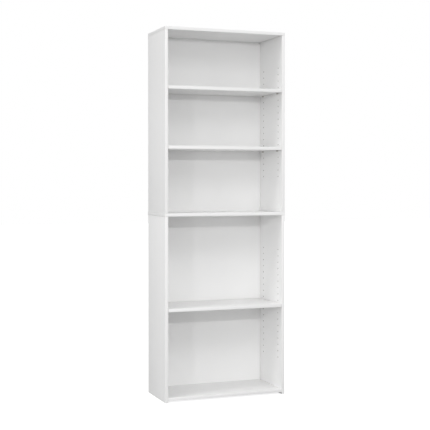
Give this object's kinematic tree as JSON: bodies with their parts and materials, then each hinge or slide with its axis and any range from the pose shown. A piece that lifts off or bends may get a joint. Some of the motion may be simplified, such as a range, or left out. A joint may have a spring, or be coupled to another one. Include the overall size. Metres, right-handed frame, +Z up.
{
  "type": "bookcase with adjustable shelves",
  "caption": "Tall, narrow open-fronted bookcase in white laminated board, with fixed bottom and middle shelves and loose shelves on pins in rows of holes.",
  "frame": {"origin": "on the floor under the middle of the case, at its bounding box's bottom centre", "axes": "+Z up, -Y out of the open front, +X to the right of someone facing the front"},
  "size_m": [0.631, 0.282, 1.81],
  "materials": {
    "white_laminate": "satin white melamine foil on particleboard",
    "white_back": "satin white foil on thin fibreboard",
    "pin_steel": "nickel plated",
    "cam_zinc": "dull die-cast zinc",
    "bolt_steel": "zinc plated"
  },
  "bodies": {
    "case": {"left_side_lower": "white_laminate", "left_side_upper": "white_laminate", "right_side_lower": "white_laminate", "right_side_upper": "white_laminate", "top_panel": "white_laminate", "middle_shelf": "white_laminate", "bottom_shelf": "white_laminate", "back_lower": "white_back", "back_upper": "white_back", "cam_top_left_front": "cam_zinc", "cam_top_left_rear": "cam_zinc", "cam_top_right_front": "cam_zinc", "cam_top_right_rear": "cam_zinc", "cam_above_middle_left_front": "cam_zinc", "cam_above_middle_left_rear": "cam_zinc", "cam_above_middle_right_front": "cam_zinc", "cam_above_middle_right_rear": "cam_zinc", "cam_below_middle_left_front": "cam_zinc", "cam_below_middle_left_rear": "cam_zinc", "cam_below_middle_right_front": "cam_zinc", "cam_below_middle_right_rear": "cam_zinc", "cam_bottom_left_front": "cam_zinc", "cam_bottom_left_rear": "cam_zinc", "cam_bottom_right_front": "cam_zinc", "cam_bottom_right_rear": "cam_zinc", "bolt_top_left_front": "bolt_steel", "bolt_top_left_rear": "bolt_steel", "bolt_top_right_front": "bolt_steel", "bolt_top_right_rear": "bolt_steel", "bolt_middle_left_front": "bolt_steel", "bolt_middle_left_rear": "bolt_steel", "bolt_middle_right_front": "bolt_steel", "bolt_middle_right_rear": "bolt_steel", "bolt_bottom_left_front": "bolt_steel", "bolt_bottom_left_rear": "bolt_steel", "bolt_bottom_right_front": "bolt_steel", "bolt_bottom_right_rear": "bolt_steel"},
    "high_shelf": {"adjustable_shelf_high": "white_laminate"},
    "second_shelf": {"adjustable_shelf_second": "white_laminate"},
    "low_shelf": {"adjustable_shelf_low": "white_laminate"},
    "pin_high_left_front": {"pin_high_left_front": "pin_steel"},
    "pin_high_left_rear": {"pin_high_left_rear": "pin_steel"},
    "pin_high_right_front": {"pin_high_right_front": "pin_steel"},
    "pin_high_right_rear": {"pin_high_right_rear": "pin_steel"},
    "pin_second_left_front": {"pin_second_left_front": "pin_steel"},
    "pin_second_left_rear": {"pin_second_left_rear": "pin_steel"},
    "pin_second_right_front": {"pin_second_right_front": "pin_steel"},
    "pin_second_right_rear": {"pin_second_right_rear": "pin_steel"},
    "pin_low_left_front": {"pin_low_left_front": "pin_steel"},
    "pin_low_left_rear": {"pin_low_left_rear": "pin_steel"},
    "pin_low_right_front": {"pin_low_right_front": "pin_steel"},
    "pin_low_right_rear": {"pin_low_right_rear": "pin_steel"}
  },
  "joints": [
    {"name": "high_shelf_slide", "type": "slide", "parent": "case", "child": "high_shelf", "axis": [0, -1, 0], "range_m": [0, 0.3]},
    {"name": "second_shelf_slide", "type": "slide", "parent": "case", "child": "second_shelf", "axis": [0, -1, 0], "range_m": [0, 0.3]},
    {"name": "low_shelf_slide", "type": "slide", "parent": "case", "child": "low_shelf", "axis": [0, -1, 0], "range_m": [0, 0.3]},
    {"name": "pin_high_left_front_pull", "type": "slide", "parent": "case", "child": "pin_high_left_front", "axis": [1, 0, 0], "range_m": [0, 0.0105]},
    {"name": "pin_high_left_rear_pull", "type": "slide", "parent": "case", "child": "pin_high_left_rear", "axis": [1, 0, 0], "range_m": [0, 0.0105]},
    {"name": "pin_high_right_front_pull", "type": "slide", "parent": "case", "child": "pin_high_right_front", "axis": [-1, 0, 0], "range_m": [0, 0.0105]},
    {"name": "pin_high_right_rear_pull", "type": "slide", "parent": "case", "child": "pin_high_right_rear", "axis": [-1, 0, 0], "range_m": [0, 0.0105]},
    {"name": "pin_second_left_front_pull", "type": "slide", "parent": "case", "child": "pin_second_left_front", "axis": [1, 0, 0], "range_m": [0, 0.0105]},
    {"name": "pin_second_left_rear_pull", "type": "slide", "parent": "case", "child": "pin_second_left_rear", "axis": [1, 0, 0], "range_m": [0, 0.0105]},
    {"name": "pin_second_right_front_pull", "type": "slide", "parent": "case", "child": "pin_second_right_front", "axis": [-1, 0, 0], "range_m": [0, 0.0105]},
    {"name": "pin_second_right_rear_pull", "type": "slide", "parent": "case", "child": "pin_second_right_rear", "axis": [-1, 0, 0], "range_m": [0, 0.0105]},
    {"name": "pin_low_left_front_pull", "type": "slide", "parent": "case", "child": "pin_low_left_front", "axis": [1, 0, 0], "range_m": [0, 0.0105]},
    {"name": "pin_low_left_rear_pull", "type": "slide", "parent": "case", "child": "pin_low_left_rear", "axis": [1, 0, 0], "range_m": [0, 0.0105]},
    {"name": "pin_low_right_front_pull", "type": "slide", "parent": "case", "child": "pin_low_right_front", "axis": [-1, 0, 0], "range_m": [0, 0.0105]},
    {"name": "pin_low_right_rear_pull", "type": "slide", "parent": "case", "child": "pin_low_right_rear", "axis": [-1, 0, 0], "range_m": [0, 0.0105]}
  ]
}
